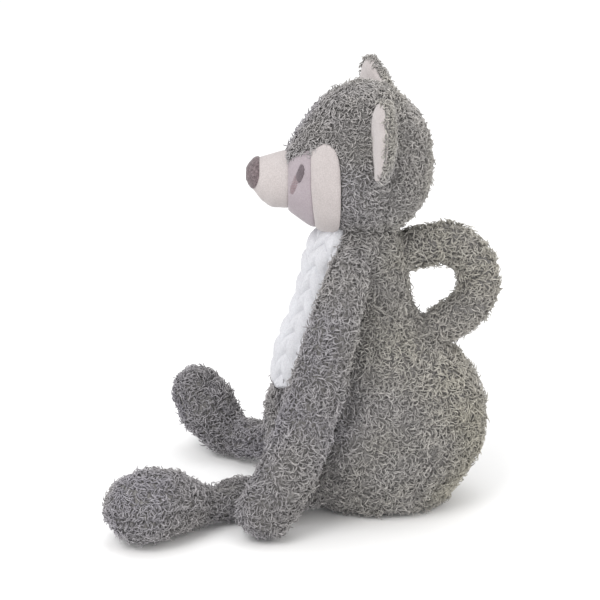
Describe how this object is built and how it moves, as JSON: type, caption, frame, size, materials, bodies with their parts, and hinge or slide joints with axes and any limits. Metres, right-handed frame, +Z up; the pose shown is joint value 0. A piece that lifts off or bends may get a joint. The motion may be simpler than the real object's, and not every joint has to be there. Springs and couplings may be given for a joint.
{
  "type": "plush raccoon toy",
  "caption": "Seated long-limbed plush raccoon with curly grey pile, quilted white belly, velour face, floppy arms and legs, sprung ears and a looped tail.",
  "frame": {"origin": "centre of the flat seat underside, on the surface it sits on", "axes": "+Z up, the toy faces -Y, +X is the toy's left side"},
  "size_m": [0.1739, 0.228, 0.2628],
  "materials": {
    "grey_boucle": "curly bouclé pile",
    "white_knit": "cable-quilted plush",
    "cream_velour": "short velour",
    "mauve_velour": "short velour",
    "taupe_velour": "short velour",
    "eye_thread": "satin embroidery",
    "stuffing": "polyester fibre fill",
    "pellet_liner": "woven liner with plastic granules"
  },
  "bodies": {
    "torso": {"torso_left_panel": "grey_boucle", "torso_right_panel": "grey_boucle", "belly_panel": "white_knit", "seat_panel": "grey_boucle", "torso_stuffing": "stuffing", "bean_bag": "pellet_liner"},
    "head": {"head_left_panel": "grey_boucle", "head_right_panel": "grey_boucle", "head_stuffing": "stuffing", "muzzle": "cream_velour", "nose_cap": "taupe_velour", "left_eye_patch": "mauve_velour", "right_eye_patch": "mauve_velour", "left_cheek_band": "cream_velour", "right_cheek_band": "cream_velour", "left_eye": "eye_thread", "right_eye": "eye_thread"},
    "left_ear": {"left_ear_back": "grey_boucle", "left_ear_lining": "cream_velour"},
    "right_ear": {"right_ear_back": "grey_boucle", "right_ear_lining": "cream_velour"},
    "left_arm": {"left_arm_outer_panel": "grey_boucle", "left_arm_inner_panel": "grey_boucle", "left_arm_stuffing": "stuffing"},
    "right_arm": {"right_arm_outer_panel": "grey_boucle", "right_arm_inner_panel": "grey_boucle", "right_arm_stuffing": "stuffing"},
    "left_leg": {"left_leg_top_panel": "grey_boucle", "left_leg_sole_panel": "grey_boucle", "left_leg_stuffing": "stuffing"},
    "right_leg": {"right_leg_top_panel": "grey_boucle", "right_leg_sole_panel": "grey_boucle", "right_leg_stuffing": "stuffing"},
    "tail": {"tail_left_panel": "grey_boucle", "tail_right_panel": "grey_boucle", "tail_stuffing": "stuffing"}
  },
  "joints": [
    {"name": "head_turn", "type": "hinge", "parent": "torso", "child": "head", "pos_m": [0, -0.015, 0.1738], "axis": [0, 0, 1], "range_deg": [-20, 20], "stiffness_Nm_per_rad": 0.15},
    {"name": "left_shoulder_raise", "type": "hinge", "parent": "torso", "child": "left_arm", "pos_m": [0.0385, -0.024, 0.15], "axis": [-0.5, -0.866, 0], "range_deg": [0, 75]},
    {"name": "right_shoulder_raise", "type": "hinge", "parent": "torso", "child": "right_arm", "pos_m": [-0.0385, -0.024, 0.15], "axis": [-0.5, 0.866, 0], "range_deg": [0, 75]},
    {"name": "left_hip_lift", "type": "hinge", "parent": "torso", "child": "left_leg", "pos_m": [0.0265, -0.065, 0.013], "axis": [-1, 0, 0], "range_deg": [0, 35]},
    {"name": "right_hip_lift", "type": "hinge", "parent": "torso", "child": "right_leg", "pos_m": [-0.0365, -0.0585, 0.018], "axis": [-0.7834, 0.6215, 0], "range_deg": [0, 40]},
    {"name": "left_ear_flop", "type": "hinge", "parent": "head", "child": "left_ear", "pos_m": [0.033, -0.003, 0.23475], "axis": [0.42, 0, -0.9075], "range_deg": [-20, 20], "stiffness_Nm_per_rad": 0.02},
    {"name": "right_ear_flop", "type": "hinge", "parent": "head", "child": "right_ear", "pos_m": [-0.033, -0.003, 0.23475], "axis": [0.42, 0, 0.9075], "range_deg": [-20, 20], "stiffness_Nm_per_rad": 0.02},
    {"name": "tail_sway", "type": "hinge", "parent": "torso", "child": "tail", "pos_m": [0, 0.025, 0.1585], "axis": [0, 0.3401, -0.9404], "range_deg": [-30, 30], "stiffness_Nm_per_rad": 0.05}
  ]
}
